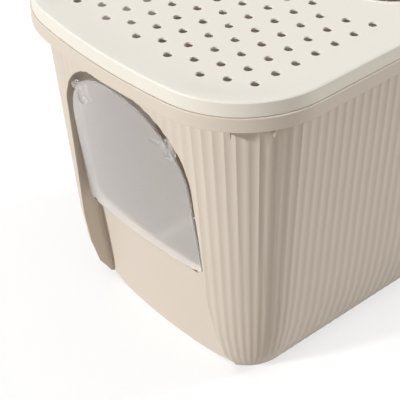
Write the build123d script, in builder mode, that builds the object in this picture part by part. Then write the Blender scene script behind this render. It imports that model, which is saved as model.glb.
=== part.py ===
"""Top entry litter box: a fluted tub with an arched niche, a swinging flap and a lift-off lid.

Millimetres. The origin is on the floor under the middle of the box, the front is at -Y, up is +Z.
"""

import math
import os

from build123d import *

# Lid, measured over its skirt. Its ends bulge past their corner lines.
WIDTH = 400
LENGTH = 562
HEIGHT = 414
END_BOW = 27
CORNER_RADIUS = 114
LID_WALL = 2.8
SKIRT_HEIGHT = 18
SKIRT_CHAMFER = 1.5
SKIRT_FOOT_CHAMFER = 0.8
DISH_DEPTH = 4
DISH_RIM = 8
DISH_SLOPE = 22
LOCATOR_DEPTH = 8
LOCATOR_GAP = 1.5

# Entry hole in the lid, with a low lip above and a flange below
ENTRY_WIDTH = 298
ENTRY_LENGTH = 231
ENTRY_RADIUS = 60
ENTRY_FROM_BACK = 171
LIP_WIDTH = 3
LIP_HEIGHT = 1
FLANGE_DEPTH = 10

# Vent holes: staggered columns across the front half of the lid, few-sided as there are many
VENT_RADIUS = 5
VENT_SIDES = 12
VENT_PITCH_X = 49.8
VENT_PITCH_Y = 27.7
VENT_ROWS = 7
VENT_FROM_FRONT = 51.5
VENT_HALF_COLUMNS = 6

# Collar: the rim band turned down round the top of the tub
SEAM = 0.3
COLLAR_PROUD = 1.2
COLLAR_HEIGHT = 17
COLLAR_WALL = 2.6
COLLAR_CHAMFER = 0.8
COLLAR_OVERHANG = 14.4

# Tub wall: drafted sides and ends above a long curved foot
WALL = 2.6
FLOOR = 3
SIDE_DRAFT = 0.078
END_DRAFT = 0.072
FOOT_HEIGHT = 118
FOOT_INSET = 32.5
FOOT_STEPS = 4

# Flutes: shallow scallops between crisp ridges, fading out at the floor
SIDE_FLUTES = 25
CORNER_FLUTES = 12
END_FLUTES = 16
FLUTE_PITCH = 12.6
FLUTE_SHARE = 0.074
FLUTE_FADE_HEIGHT = 40
FLUTE_FLOOR_SHARE = 0.15

# Stiffening fins that hang under the collar, a pair at every corner, leaning in below it
FIN_ANGLES = (25.2, 49)
FIN_WALL = 2
FIN_LENGTH = 18
FIN_LEAN = 5
FIN_BELOW_COLLAR = 12

# Niche in the front wall and the leaning, bowed panel at its back
NICHE_BELOW_COLLAR = 11.7
NICHE_MARGIN = 12.7
NICHE_TAPER = 0.038
NICHE_CORNER = 92
CROWN_RADIUS = 152
PANEL_SETBACK = 78
PANEL_LEAN = 0.146

# Doorway through the panel
DOOR_BELOW_NICHE = 3
DOOR_BOTTOM = 148
DOOR_TAPER = 0.014
DOOR_CORNER = 88
DOOR_FOOT_RADIUS = 12

# Flap: a bowed sheet, smaller than its doorway, with a visor along its crown
FLAP_HALF_WIDTH = 100.5
FLAP_SIDE_GAP = 2
FLAP_TOP_GAP = 4.5
FLAP_FOOT_GAP = 3.5
FLAP_TAPER = 0.014
FLAP_CORNER = 95
FLAP_FOOT_RADIUS = 8
FLAP_SHEET = 2
FLAP_STAND_OFF = 16.4
FLAP_LEAN = 0.13
VISOR_DEPTH = 13
VISOR_INSET = 34.5
BOSS_INSET = 28.5
BOSS_WIDTH = 10
BOSS_DEPTH = 9
BOSS_BELOW_HINGE = 17.5
BOSS_HEIGHT = 22
RIB_FROM_BOSS = 15.5
RIB_LENGTH = 13
RIB_DEPTH = 4
RIB_BELOW_HINGE = 3.5

# Hinge of the flap: stubs that end in thin pins, in blind sockets of the niche walls
HINGE_STAND_OFF = 48.5
HINGE_BELOW_FLAP_TOP = 38
STUB_RADIUS = 5
PIN_LENGTH = 10.5
PIN_RADIUS = 2.5
PIN_INSET = 5.5
PIN_CLEARANCE = 0.05
SOCKET_REACH = 16
SOCKET_END_GAP = 1
SOCKET_RADIUS = 5.5
SOCKET_CLOSE = 2.5

# Derived places
LID_BOTTOM = HEIGHT - SKIRT_HEIGHT
RIM_TOP = LID_BOTTOM - SEAM
COLLAR_BOTTOM = RIM_TOP - COLLAR_HEIGHT
DISH_TOP = HEIGHT - DISH_DEPTH
CORNER_LINE = LENGTH / 2 - END_BOW
FRONT_START = LENGTH / 4
ENTRY_MIDDLE = LENGTH / 2 - ENTRY_FROM_BACK
VENT_FRONT = VENT_FROM_FRONT - LENGTH / 2
PANEL_Y = PANEL_SETBACK - LENGTH / 2
FLAP_Y = PANEL_Y - FLAP_STAND_OFF
HINGE_Y = PANEL_Y - HINGE_STAND_OFF
NICHE_TOP = COLLAR_BOTTOM - NICHE_BELOW_COLLAR
DOOR_TOP = NICHE_TOP - DOOR_BELOW_NICHE
FLAP_TOP = DOOR_TOP - FLAP_TOP_GAP
FLAP_BOTTOM = DOOR_BOTTOM + FLAP_FOOT_GAP
HINGE_Z = FLAP_TOP - HINGE_BELOW_FLAP_TOP
BOSS_BOTTOM = HINGE_Z - BOSS_BELOW_HINGE
RIB_Z = HINGE_Z - RIB_BELOW_HINGE
DOOR_HALF_WIDTH = FLAP_HALF_WIDTH + FLAP_SIDE_GAP
NICHE_HALF_WIDTH = DOOR_HALF_WIDTH + NICHE_MARGIN
VISOR_HALF_WIDTH = FLAP_HALF_WIDTH - VISOR_INSET
BOSS_X = FLAP_HALF_WIDTH - BOSS_INSET
RIB_X = BOSS_X - RIB_FROM_BOSS
PIN_END = FLAP_HALF_WIDTH - PIN_INSET
STUB_END = PIN_END - PIN_LENGTH
SOCKET_DEPTH = PIN_END + SOCKET_END_GAP
SOCKET_START = SOCKET_DEPTH - SOCKET_REACH


def bowed_corner(half, corner_line, radius):
    """Round corner between a straight side and a bowed end, as for the front right corner."""
    bow_radius = (half * half + END_BOW * END_BOW) / (2 * END_BOW)
    bow_centre = bow_radius - corner_line - END_BOW
    centre_x = half - radius
    centre_y = bow_centre - math.sqrt((bow_radius - radius) ** 2 - centre_x * centre_x)
    return bow_radius, bow_centre, centre_x, centre_y


def plan(inset):
    """The lid's plan, moved in by an inset: straight sides, bowed ends, round corners."""
    half = WIDTH / 2 - inset
    corner = CORNER_LINE - inset
    with BuildSketch() as sketch:
        with BuildLine():
            ThreePointArc((-half, -corner), (0, -corner - END_BOW), (half, -corner))
            Line((half, -corner), (half, corner))
            ThreePointArc((half, corner), (0, corner + END_BOW), (-half, corner))
            Line((-half, corner), (-half, -corner))
        make_face()
        fillet(sketch.vertices(), CORNER_RADIUS - inset)
    return sketch.sketch


def foot_levels(lowest):
    """Heights that divide the foot's curve evenly, from the lowest to the foot's top."""
    angles = [math.pi / 2 * step / FOOT_STEPS for step in range(FOOT_STEPS)]
    return [lowest] + [FOOT_HEIGHT * (1 - math.sin(angle)) for angle in reversed(angles)]


def foot_inset(height):
    """How far the long curved foot has drawn the wall in at a height."""
    below = 1 - min(height / FOOT_HEIGHT, 1)
    return FOOT_INSET * (1 - math.sqrt(1 - below * below))


def ridge_points(height, inset):
    """Ridges of a quarter of the wall, from the right side round to the middle of the front."""
    drop = COLLAR_BOTTOM - height
    shrink = COLLAR_OVERHANG - COLLAR_PROUD + foot_inset(height)
    half = WIDTH / 2 - shrink - SIDE_DRAFT * drop
    radius = CORNER_RADIUS - shrink - SIDE_DRAFT * drop
    corner_line = CORNER_LINE - shrink - END_DRAFT * drop
    bow_radius, bow_centre, centre_x, centre_y = bowed_corner(half, corner_line, radius)
    bow_angle = math.asin(centre_x / (bow_radius - radius))

    points = []
    for step in range(1, SIDE_FLUTES // 2 + 2):
        points.append((half - inset, -FLUTE_PITCH * (step - 0.5)))
    reach = radius - inset
    start = math.atan2(points[-1][1] - centre_y, radius)
    sweep = start + math.pi / 2 - bow_angle
    for step in range(1, CORNER_FLUTES + 1):
        angle = start - sweep * step / CORNER_FLUTES
        points.append((centre_x + reach * math.cos(angle), centre_y + reach * math.sin(angle)))
    reach = bow_radius - inset
    for step in range(1, END_FLUTES // 2 + 1):
        angle = bow_angle * (1 - 2 * step / END_FLUTES)
        points.append((reach * math.sin(angle), bow_centre - reach * math.cos(angle)))
    return points


def fluted_plan(height, inset=0):
    """The wall's plan at a height: a scallop between every two ridges, plainer on the inside."""
    quarter = ridge_points(height, inset)
    front = quarter + [(-x, y) for x, y in reversed(quarter[:-1])]
    ridges = front + [(-x, -y) for x, y in front]
    fade = min(1, FLUTE_FLOOR_SHARE + height / FLUTE_FADE_HEIGHT)
    flute_mode = Mode.PRIVATE if inset else Mode.ADD
    with BuildSketch() as sketch:
        with BuildLine():
            for start, end in zip(ridges, ridges[1:] + ridges[:1]):
                dip = FLUTE_SHARE * fade * math.dist(start, end)
                scallop = SagittaArc(start, end, -dip, mode=flute_mode)
                if inset:
                    Polyline(start, scallop @ 0.5, end)
        make_face()
    return sketch.sketch


def arch(half_width, taper, bottom, top, corner, grow=0, foot_radius=0):
    """An arch on its own plane: leaning legs, round shoulders and a wide crown, all grown alike.

    The shoulders are never rounder than the arch is wide.
    """
    crown = CROWN_RADIUS + grow
    foot_x = half_width + grow - taper * bottom
    leg_x = half_width + grow - taper * (top - crown / 4)
    leg_z = top + grow - crown + math.sqrt(crown ** 2 - leg_x ** 2)
    shoulder = min(corner + grow, 0.99 * leg_x)
    with BuildSketch() as sketch:
        with BuildLine():
            Line((-foot_x, bottom), (foot_x, bottom))
            Line((foot_x, bottom), (leg_x, leg_z))
            ThreePointArc((leg_x, leg_z), (0, top + grow), (-leg_x, leg_z))
            Line((-leg_x, leg_z), (-foot_x, bottom))
        make_face()
        fillet(sketch.vertices().group_by(Axis.Y)[-1], shoulder)
        if foot_radius:
            fillet(sketch.vertices().group_by(Axis.Y)[0], foot_radius)
    return sketch.sketch


def bowed_band(front, thickness):
    """Plan of a band between two bowed arcs, as wide as the lid."""
    half = WIDTH / 2
    back = front + thickness
    with BuildSketch() as sketch:
        with BuildLine():
            ThreePointArc((-half, front + END_BOW), (0, front), (half, front + END_BOW))
            Line((half, front + END_BOW), (half, back + END_BOW))
            ThreePointArc((half, back + END_BOW), (0, back), (-half, back + END_BOW))
            Line((-half, back + END_BOW), (-half, front + END_BOW))
        make_face()
    return sketch.sketch


def niche_space(grow):
    """Space of the niche in front of its leaning panel, grown by a wall on every side."""
    with BuildPart() as space:
        with BuildSketch(Plane.XZ.offset(FRONT_START)):
            add(arch(NICHE_HALF_WIDTH, NICHE_TAPER, -FLOOR, NICHE_TOP, NICHE_CORNER, grow))
        extrude(amount=LENGTH / 2)
        with BuildSketch(Plane.XY.offset(-FLOOR)):
            with Locations((0, PANEL_LEAN * FLOOR)):
                add(bowed_band(PANEL_Y + grow - LENGTH / 2, LENGTH / 2))
        extrude(amount=2 * HEIGHT, dir=(0, -PANEL_LEAN, 1), mode=Mode.INTERSECT)
    return space.part


def hinge_rods(radius, start, end):
    """Rods on the hinge axis, one at each side of the flap."""
    with BuildPart() as rods:
        for side in (-1, 1):
            with BuildSketch(Plane.YZ.offset(side * start)):
                with Locations((HINGE_Y, HINGE_Z)):
                    Circle(radius)
            extrude(amount=side * (end - start))
    return rods.part


def flap_front(x):
    """The flap's front face at floor height, if its lean ran that far down."""
    return FLAP_Y + END_BOW * (2 * x / WIDTH) ** 2


# Hollow of the tub: fluted like the outside, less the niche's walls and the hinge sockets
with BuildPart() as hollow:
    for level in foot_levels(FLOOR) + [RIM_TOP]:
        with BuildSketch(Plane.XY.offset(level)):
            add(fluted_plan(level, WALL))
    loft(ruled=True, clean=False)
    sockets = hinge_rods(SOCKET_RADIUS, SOCKET_START, SOCKET_DEPTH + SOCKET_CLOSE)
    add([niche_space(WALL), sockets], clean=False, mode=Mode.SUBTRACT)

# Collar: a flange round the mouth, turned down into a band
with BuildPart() as collar:
    with BuildSketch(Plane.XY.offset(COLLAR_BOTTOM)):
        add(plan(-COLLAR_PROUD))
    extrude(amount=COLLAR_HEIGHT)
    rims = collar.edges().group_by(Axis.Z)
    chamfer(rims[0] + rims[-1], COLLAR_CHAMFER)
    with BuildSketch(Plane.XY.offset(COLLAR_BOTTOM)):
        add(plan(COLLAR_WALL - COLLAR_PROUD))
    extrude(amount=COLLAR_HEIGHT - COLLAR_WALL, mode=Mode.SUBTRACT)

# Fins between the collar and the wall
with BuildPart() as fins:
    corner_x, corner_y = bowed_corner(WIDTH / 2, CORNER_LINE, CORNER_RADIUS)[2:]
    reach = CORNER_RADIUS + COLLAR_PROUD - COLLAR_WALL / 2
    fin_top = RIM_TOP - COLLAR_WALL / 2
    fin_bottom = COLLAR_BOTTOM - FIN_BELOW_COLLAR
    for side in (-1, 1):
        for end in (-1, 1):
            for angle in FIN_ANGLES:
                out_x = side * math.cos(math.radians(angle))
                out_y = end * math.sin(math.radians(angle))
                middle = (side * corner_x, -end * corner_y, 0)
                with BuildSketch(Plane(middle, x_dir=(out_x, out_y, 0), z_dir=(out_y, -out_x, 0))):
                    with BuildLine():
                        Polyline(
                            (reach - FIN_LENGTH, fin_top),
                            (reach, fin_top),
                            (reach, COLLAR_BOTTOM),
                            (reach - FIN_LEAN, fin_bottom),
                            (reach - FIN_LENGTH, fin_bottom),
                            close=True,
                        )
                    make_face()
                extrude(amount=FIN_WALL / 2, both=True)

# Front openings: the niche, the doorway through its panel and the pins' sockets
with BuildPart() as front_openings:
    with BuildSketch(Plane.XZ.offset(FRONT_START)):
        door = arch(DOOR_HALF_WIDTH, DOOR_TAPER, DOOR_BOTTOM, DOOR_TOP, DOOR_CORNER, 0, DOOR_FOOT_RADIUS)
        add(door)
    extrude(amount=LENGTH / 2)
    add([niche_space(0), hinge_rods(PIN_RADIUS + PIN_CLEARANCE, SOCKET_START, SOCKET_DEPTH)])

with BuildPart() as tub:
    for level in foot_levels(0) + [RIM_TOP]:
        with BuildSketch(Plane.XY.offset(level)):
            add(fluted_plan(level))
    loft(ruled=True, clean=False)
    add([collar.part, fins.part], clean=False)
    add([hollow.part, front_openings.part], clean=False, mode=Mode.SUBTRACT)

with BuildPart() as flap:
    # Bowed sheet, cut to the arch
    with BuildSketch(Plane.XZ.offset(FRONT_START)):
        sheet = arch(FLAP_HALF_WIDTH, FLAP_TAPER, FLAP_BOTTOM, FLAP_TOP, FLAP_CORNER, 0, FLAP_FOOT_RADIUS)
        add(sheet)
    extrude(amount=LENGTH / 2)
    with BuildSketch():
        add(bowed_band(FLAP_Y, FLAP_SHEET))
    extrude(amount=2 * HEIGHT, dir=(0, -FLAP_LEAN, 1), mode=Mode.INTERSECT)

    # Visor: a return along the crown, deepest in the middle
    with BuildPart(mode=Mode.PRIVATE) as visor:
        with BuildSketch(Plane.XZ.offset(FRONT_START)):
            add(arch(FLAP_HALF_WIDTH, FLAP_TAPER, FLAP_BOTTOM, FLAP_TOP, FLAP_CORNER))
            inner = arch(FLAP_HALF_WIDTH, FLAP_TAPER, 0, FLAP_TOP, FLAP_CORNER, -FLAP_SHEET)
            add(inner, mode=Mode.SUBTRACT)
        extrude(amount=LENGTH / 2)
        with BuildSketch():
            end_y = flap_front(VISOR_HALF_WIDTH) + FLAP_SHEET
            front_y = end_y - FLAP_SHEET / 2
            with BuildLine():
                middle = (0, FLAP_Y + FLAP_SHEET + VISOR_DEPTH)
                ThreePointArc((VISOR_HALF_WIDTH, end_y), middle, (-VISOR_HALF_WIDTH, end_y))
                Line((-VISOR_HALF_WIDTH, end_y), (-VISOR_HALF_WIDTH, front_y))
                middle = (0, FLAP_Y + FLAP_SHEET / 2)
                ThreePointArc((-VISOR_HALF_WIDTH, front_y), middle, (VISOR_HALF_WIDTH, front_y))
                Line((VISOR_HALF_WIDTH, front_y), (VISOR_HALF_WIDTH, end_y))
            make_face()
        extrude(amount=2 * HEIGHT, dir=(0, -FLAP_LEAN, 1), mode=Mode.INTERSECT)
    add(visor.part)

    # Bosses that carry the stubs, and a short rib beside each
    for side in (-1, 1):
        boss_y = flap_front(BOSS_X) - FLAP_LEAN * BOSS_BOTTOM + (FLAP_SHEET + BOSS_DEPTH) / 2
        with BuildSketch(Plane.XY.offset(BOSS_BOTTOM)):
            with Locations((side * BOSS_X, boss_y)):
                Rectangle(BOSS_WIDTH, BOSS_DEPTH)
        extrude(amount=BOSS_HEIGHT, dir=(0, -FLAP_LEAN, 1))
        rib_y = flap_front(RIB_X) - FLAP_LEAN * RIB_Z + (FLAP_SHEET + RIB_DEPTH) / 2
        with BuildSketch(Plane.XY.offset(RIB_Z)):
            with Locations((side * RIB_X, rib_y)):
                Rectangle(RIB_LENGTH, RIB_DEPTH)
        extrude(amount=FLAP_SHEET, dir=(0, -FLAP_LEAN, 1))
    add(hinge_rods(STUB_RADIUS, BOSS_X, STUB_END))
    add(hinge_rods(PIN_RADIUS, STUB_END - PIN_RADIUS, PIN_END))

with BuildPart() as lid:
    # Skirted plate with a wide shallow dish
    with BuildSketch(Plane.XY.offset(LID_BOTTOM)):
        add(plan(0))
    extrude(amount=SKIRT_HEIGHT)
    rims = lid.edges().group_by(Axis.Z)
    chamfer(rims[-1], SKIRT_CHAMFER)
    chamfer(rims[0], SKIRT_FOOT_CHAMFER)
    with BuildSketch(Plane.XY.offset(DISH_TOP)):
        add(plan(DISH_RIM + DISH_SLOPE))
    spread = math.degrees(math.atan(DISH_SLOPE / DISH_DEPTH))
    extrude(amount=DISH_DEPTH, taper=-spread, mode=Mode.SUBTRACT)
    with BuildSketch(Plane.XY.offset(LID_BOTTOM)):
        add(plan(LID_WALL))
    extrude(amount=DISH_TOP - LID_BOTTOM - LID_WALL, mode=Mode.SUBTRACT)
    with BuildSketch(Plane.XY.offset(LID_BOTTOM)):
        add(plan(LID_WALL))
        add(plan(DISH_RIM + LID_WALL), mode=Mode.SUBTRACT)
    extrude(amount=SKIRT_HEIGHT - LID_WALL, mode=Mode.SUBTRACT)

    # Ring that drops inside the tub's mouth
    mouth = COLLAR_OVERHANG - COLLAR_PROUD + WALL + FLUTE_SHARE * FLUTE_PITCH + LOCATOR_GAP
    with BuildSketch(Plane.XY.offset(LID_BOTTOM - LOCATOR_DEPTH)):
        add(plan(mouth))
        add(plan(mouth + LID_WALL), mode=Mode.SUBTRACT)
    extrude(amount=LOCATOR_DEPTH + DISH_TOP - LID_BOTTOM - LID_WALL / 2)

    # Entry hole with its lip and flange
    with BuildSketch(Plane.XY.offset(DISH_TOP - FLANGE_DEPTH)):
        with Locations((0, ENTRY_MIDDLE)):
            lip_size = (ENTRY_WIDTH + 2 * LIP_WIDTH, ENTRY_LENGTH + 2 * LIP_WIDTH)
            RectangleRounded(*lip_size, ENTRY_RADIUS + LIP_WIDTH)
    extrude(amount=FLANGE_DEPTH + LIP_HEIGHT)
    with BuildSketch(Plane.XY.offset(DISH_TOP - FLANGE_DEPTH)):
        with Locations((0, ENTRY_MIDDLE)):
            RectangleRounded(ENTRY_WIDTH, ENTRY_LENGTH, ENTRY_RADIUS)
    extrude(amount=FLANGE_DEPTH + LIP_HEIGHT, mode=Mode.SUBTRACT)

    # Vents: every other column sits half a row back, and the outermost a whole row
    with BuildSketch(Plane.XY.offset(HEIGHT)):
        for column in range(-VENT_HALF_COLUMNS, VENT_HALF_COLUMNS + 1):
            shift = 1 if abs(column) == VENT_HALF_COLUMNS else 0.5 * (column % 2)
            for row in range(VENT_ROWS):
                vent_y = VENT_FRONT + VENT_PITCH_Y * (row + shift)
                with Locations((column * VENT_PITCH_X / 2, vent_y)):
                    RegularPolygon(VENT_RADIUS, VENT_SIDES)
    extrude(amount=-DISH_DEPTH - 2 * LID_WALL, mode=Mode.SUBTRACT)

os.makedirs("parts", exist_ok=True)
tub.part.label = "tub"
export_step(tub.part, "parts/tub.step")
flap.part.label = "flap"
export_step(flap.part, "parts/flap.step")
lid.part.label = "lid"
export_step(lid.part, "parts/lid.step")
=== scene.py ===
"""Top entry litter box: materials, soft edges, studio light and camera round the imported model."""

import math

import bpy
from mathutils import Matrix, Vector

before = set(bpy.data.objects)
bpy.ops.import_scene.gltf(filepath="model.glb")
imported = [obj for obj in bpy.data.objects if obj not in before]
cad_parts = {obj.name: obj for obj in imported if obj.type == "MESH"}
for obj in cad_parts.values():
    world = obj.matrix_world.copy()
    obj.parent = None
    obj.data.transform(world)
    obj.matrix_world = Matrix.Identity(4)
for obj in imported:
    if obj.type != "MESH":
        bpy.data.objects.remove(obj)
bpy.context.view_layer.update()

MM = 0.001

# Camera, in the model's frame
CAMERA_PLACE = Vector((1.051, -1.0355, 1.2027))
CAMERA_AIM = Vector((0.0128, -0.1116, 0.1766))
CAMERA_ROLL = math.radians(-0.66)
CAMERA_LENS = 134.45
CAMERA_SENSOR = 36
CAMERA_SHIFT_X = -0.0804
CAMERA_SHIFT_Y = -0.0561

# Light: where each lamp stands, how strong it is and its spread in degrees, then an even fill.
# The floor glows a little where it is seen, and gives back a warm share of what falls on it.
LAMPS = {
    "key": (Vector((-0.28, -0.96, 0.38)), 2.7, 9),
    "back": (Vector((0.45, 0.9, 0.35)), 1.6, 12),
    "side": (Vector((0.8, -0.55, 0.3)), 0.3, 50),
    "top": (Vector((0.0, 0.1, 1)), 1.2, 60),
}
FILL_STRENGTH = 0.1
FLOOR_GLOW = 0.5
FLOOR_SHINE = 1.17
FLOOR_BOUNCE = (0.5, 0.455, 0.395, 1)

# Colours, linear
SAND = (0.695, 0.62, 0.54, 1)
SAND_DEEP = (0.67, 0.59, 0.505, 1)
CREAM = (0.83, 0.8, 0.725, 1)
CREAM_DEEP = (0.805, 0.77, 0.69, 1)
SMOKE = (0.95, 0.925, 0.91, 1)
WHITE = (1, 1, 1, 1)

# Moulded plastic: drifting tone, uneven sheen and a fine spark-eroded grain
PLASTIC_IOR = 1.49
TONE_SCALE = 7.0
SHEEN_SCALE = 45.0
SHEEN_SPREAD = 0.06
GRAIN_SCALE = 1400.0
GRAIN_DEPTH = 0.15 * MM

# Clear plastic of the flap
FLAP_CLEARNESS = 0.8
FLAP_ROUGHNESS = (0.1, 0.16)
FLOW_SCALE = 28.0
FLOW_STRENGTH = 0.05
FLOW_DEPTH = 0.4 * MM

# Soft edges: radius on each node, and the angles above which an edge stays crisp or is rounded
EDGE_WIDTHS = {"tub": 0.4 * MM, "lid": 0.5 * MM, "flap": 0.3 * MM}
CRISP_ANGLE = math.radians(34)
ROUNDED_ANGLE = math.radians(36)
EDGE_SEGMENTS = 2
MERGE_DISTANCE = 0.01 * MM

FLOOR_HALF_SIZE = 20.0
CAMERA_REACH = 50


class Nodes:
    """Adds nodes to one tree and links them by name."""

    def __init__(self, tree):
        self.tree = tree

    def add(self, kind, **inputs):
        """Adds a node; an input is a value, or the (node, output) that feeds it."""
        node = self.tree.nodes.new(kind)
        for name, value in inputs.items():
            socket = node.inputs[name.replace("_", " ")]
            if isinstance(value, tuple) and isinstance(value[0], bpy.types.Node):
                self.tree.links.new(value[0].outputs[value[1]], socket)
            else:
                socket.default_value = value
        return node


def new_material(name):
    """A material with an empty tree, its node adder and its output node."""
    material = bpy.data.materials.new(name)
    material.use_nodes = True
    material.node_tree.nodes.clear()
    nodes = Nodes(material.node_tree)
    return material, nodes, nodes.add("ShaderNodeOutputMaterial")


def moulded_plastic(name, colour, deep, roughness, grain):
    """Satin moulded plastic: slightly uneven tone and sheen over a fine spark-eroded grain."""
    material, nodes, output = new_material(name)
    place = nodes.add("ShaderNodeTexCoord")
    cloud = nodes.add("ShaderNodeTexNoise", Vector=(place, "Object"), Scale=TONE_SCALE, Detail=3.0)
    tone = nodes.add("ShaderNodeMix")
    tone.data_type = "RGBA"
    nodes.tree.links.new(cloud.outputs["Fac"], tone.inputs["Factor"])
    tone.inputs[6].default_value = colour
    tone.inputs[7].default_value = deep
    haze = nodes.add("ShaderNodeTexNoise", Vector=(place, "Object"), Scale=SHEEN_SCALE, Detail=4.0)
    sheen = nodes.add("ShaderNodeMapRange", Value=(haze, "Fac"))
    sheen.inputs["To Min"].default_value = roughness - SHEEN_SPREAD
    sheen.inputs["To Max"].default_value = roughness + SHEEN_SPREAD
    pits = nodes.add("ShaderNodeTexNoise", Vector=(place, "Object"), Scale=GRAIN_SCALE, Detail=2.0)
    bump = nodes.add("ShaderNodeBump", Height=(pits, "Fac"), Strength=grain, Distance=GRAIN_DEPTH)
    shader = nodes.add(
        "ShaderNodeBsdfPrincipled",
        Roughness=(sheen, "Result"),
        Normal=(bump, "Normal"),
        IOR=PLASTIC_IOR,
    )
    nodes.tree.links.new(tone.outputs[2], shader.inputs["Base Color"])
    nodes.tree.links.new(shader.outputs[0], output.inputs["Surface"])
    return material


def clear_plastic(name):
    """Cloudy clear plastic for the flap: see-through, with a pale veil and a glossy skin."""
    material, nodes, output = new_material(name)
    place = nodes.add("ShaderNodeTexCoord")
    flow = nodes.add("ShaderNodeTexNoise", Vector=(place, "Object"), Scale=FLOW_SCALE, Detail=3.0)
    sheen = nodes.add("ShaderNodeMapRange", Value=(flow, "Fac"))
    sheen.inputs["To Min"].default_value, sheen.inputs["To Max"].default_value = FLAP_ROUGHNESS
    bump = nodes.add(
        "ShaderNodeBump", Height=(flow, "Fac"), Strength=FLOW_STRENGTH, Distance=FLOW_DEPTH
    )
    shader = nodes.add(
        "ShaderNodeBsdfPrincipled",
        Base_Color=SMOKE,
        Roughness=(sheen, "Result"),
        Normal=(bump, "Normal"),
        IOR=PLASTIC_IOR,
        Transmission_Weight=FLAP_CLEARNESS,
    )
    nodes.tree.links.new(shader.outputs[0], output.inputs["Surface"])
    return material


def seen_rays(nodes, rays):
    """One for camera, glossy and transmission rays, and zero for the rest."""
    total = nodes.add("ShaderNodeMath")
    total.operation = "MAXIMUM"
    nodes.tree.links.new(rays.outputs["Is Camera Ray"], total.inputs[0])
    nodes.tree.links.new(rays.outputs["Is Glossy Ray"], total.inputs[1])
    both = nodes.add("ShaderNodeMath")
    both.operation = "MAXIMUM"
    nodes.tree.links.new(total.outputs[0], both.inputs[0])
    nodes.tree.links.new(rays.outputs["Is Transmission Ray"], both.inputs[1])
    return both


def floor_material():
    """White floor that glows a little to the camera and keeps the object's shadow."""
    material, nodes, output = new_material("floor_white")
    seen = seen_rays(nodes, nodes.add("ShaderNodeLightPath"))
    bright = nodes.add("ShaderNodeBsdfDiffuse", Color=WHITE)
    glow = nodes.add("ShaderNodeEmission", Color=WHITE, Strength=FLOOR_SHINE)
    shown = nodes.add("ShaderNodeMixShader", Fac=FLOOR_GLOW)
    nodes.tree.links.new(bright.outputs[0], shown.inputs[1])
    nodes.tree.links.new(glow.outputs[0], shown.inputs[2])
    matt = nodes.add("ShaderNodeBsdfDiffuse", Color=FLOOR_BOUNCE)
    mix = nodes.add("ShaderNodeMixShader", Fac=(seen, 0))
    nodes.tree.links.new(matt.outputs[0], mix.inputs[1])
    nodes.tree.links.new(shown.outputs[0], mix.inputs[2])
    nodes.tree.links.new(mix.outputs[0], output.inputs["Surface"])
    return material


def make_world():
    """White backdrop for the camera, an even fill for the light."""
    world = bpy.data.worlds.new("studio")
    bpy.context.scene.world = world
    world.use_nodes = True
    world.node_tree.nodes.clear()
    nodes = Nodes(world.node_tree)
    output = nodes.add("ShaderNodeOutputWorld")
    seen = seen_rays(nodes, nodes.add("ShaderNodeLightPath"))
    fill = nodes.add("ShaderNodeBackground", Color=WHITE, Strength=FILL_STRENGTH)
    backdrop = nodes.add("ShaderNodeBackground", Color=WHITE, Strength=1.0)
    mix = nodes.add("ShaderNodeMixShader")
    nodes.tree.links.new(seen.outputs[0], mix.inputs[0])
    nodes.tree.links.new(fill.outputs[0], mix.inputs[1])
    nodes.tree.links.new(backdrop.outputs[0], mix.inputs[2])
    nodes.tree.links.new(mix.outputs[0], output.inputs["Surface"])


def make_lamps():
    """The lamps, all far away."""
    for name, (place, strength, spread) in LAMPS.items():
        lamp = bpy.data.lights.new(name, "SUN")
        lamp.energy = strength
        lamp.angle = math.radians(spread)
        holder = bpy.data.objects.new(name, lamp)
        holder.rotation_mode = "QUATERNION"
        holder.rotation_quaternion = place.to_track_quat("Z", "Y")
        bpy.context.scene.collection.objects.link(holder)


def make_floor():
    """A wide plain floor under the box."""
    size = FLOOR_HALF_SIZE
    mesh = bpy.data.meshes.new("floor")
    corners = [(-size, -size, 0), (size, -size, 0), (size, size, 0), (-size, size, 0)]
    mesh.from_pydata(corners, [], [(0, 1, 2, 3)])
    floor = bpy.data.objects.new("floor", mesh)
    mesh.materials.append(floor_material())
    bpy.context.scene.collection.objects.link(floor)


def make_camera():
    """The camera at the picture's viewing angle."""
    camera = bpy.data.cameras.new("camera")
    camera.lens = CAMERA_LENS
    camera.sensor_width = CAMERA_SENSOR
    camera.clip_end = CAMERA_REACH
    camera.shift_x = CAMERA_SHIFT_X
    camera.shift_y = CAMERA_SHIFT_Y
    holder = bpy.data.objects.new("camera", camera)
    turn = (CAMERA_AIM - CAMERA_PLACE).to_track_quat("-Z", "Y").to_matrix()
    turn = turn @ Matrix.Rotation(CAMERA_ROLL, 3, "Z")
    holder.matrix_world = Matrix.Translation(CAMERA_PLACE) @ turn.to_4x4()
    bpy.context.scene.collection.objects.link(holder)
    bpy.context.scene.camera = holder


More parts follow.
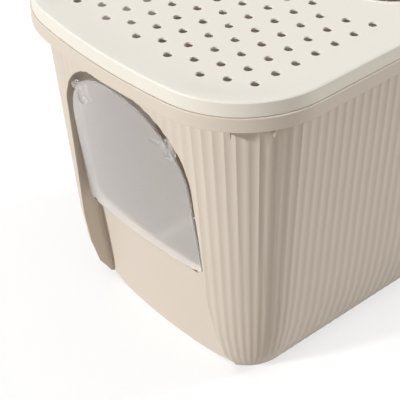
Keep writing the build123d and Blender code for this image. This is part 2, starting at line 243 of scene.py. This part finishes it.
def smoothing_group():
    """Geometry nodes that join the CAD faces and shade smooth all but the crisp edges."""
    tree = bpy.data.node_groups.new("smooth_by_angle", "GeometryNodeTree")
    tree.is_modifier = True
    tree.interface.new_socket("Geometry", in_out="INPUT", socket_type="NodeSocketGeometry")
    tree.interface.new_socket("Geometry", in_out="OUTPUT", socket_type="NodeSocketGeometry")
    nodes = Nodes(tree)
    source = nodes.add("NodeGroupInput")
    plain = nodes.add("GeometryNodeRemoveAttribute", Geometry=(source, 0), Name="custom_normal")
    joined = nodes.add("GeometryNodeMergeByDistance", Geometry=(plain, 0), Distance=MERGE_DISTANCE)
    smooth = nodes.add("GeometryNodeSetShadeSmooth", Geometry=(joined, 0), Shade_Smooth=True)
    bend = nodes.add("GeometryNodeInputMeshEdgeAngle")
    crisp = nodes.add("FunctionNodeCompare")
    crisp.operation = "GREATER_THAN"
    tree.links.new(bend.outputs["Unsigned Angle"], crisp.inputs[0])
    crisp.inputs[1].default_value = CRISP_ANGLE
    edges = nodes.add("GeometryNodeSetShadeSmooth", Geometry=(smooth, 0), Selection=(crisp, 0))
    edges.domain = "EDGE"
    edges.inputs["Shade Smooth"].default_value = False
    target = nodes.add("NodeGroupOutput")
    tree.links.new(edges.outputs[0], target.inputs[0])
    return tree


def soften(name, group):
    """Shades a node smooth and rounds its edges a little."""
    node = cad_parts[name]
    smooth = node.modifiers.new("smooth", "NODES")
    smooth.node_group = group
    bevel = node.modifiers.new("edges", "BEVEL")
    bevel.width = EDGE_WIDTHS[name]
    bevel.segments = EDGE_SEGMENTS
    bevel.limit_method = "ANGLE"
    bevel.angle_limit = ROUNDED_ANGLE
    bevel.use_clamp_overlap = False
    bevel.harden_normals = True


def finish_node(name, material):
    """Gives a node its one material."""
    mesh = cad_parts[name].data
    for index in range(len(mesh.materials)):
        mesh.materials[index] = material


finish_node("tub", moulded_plastic("sand_plastic", SAND, SAND_DEEP, 0.48, 0.12))
finish_node("lid", moulded_plastic("cream_plastic", CREAM, CREAM_DEEP, 0.42, 0.1))
finish_node("flap", clear_plastic("cloudy_plastic"))
smoothing = smoothing_group()
for node_name in EDGE_WIDTHS:
    soften(node_name, smoothing)

make_world()
make_lamps()
make_floor()
make_camera()
bpy.context.scene.view_settings.view_transform = "Standard"
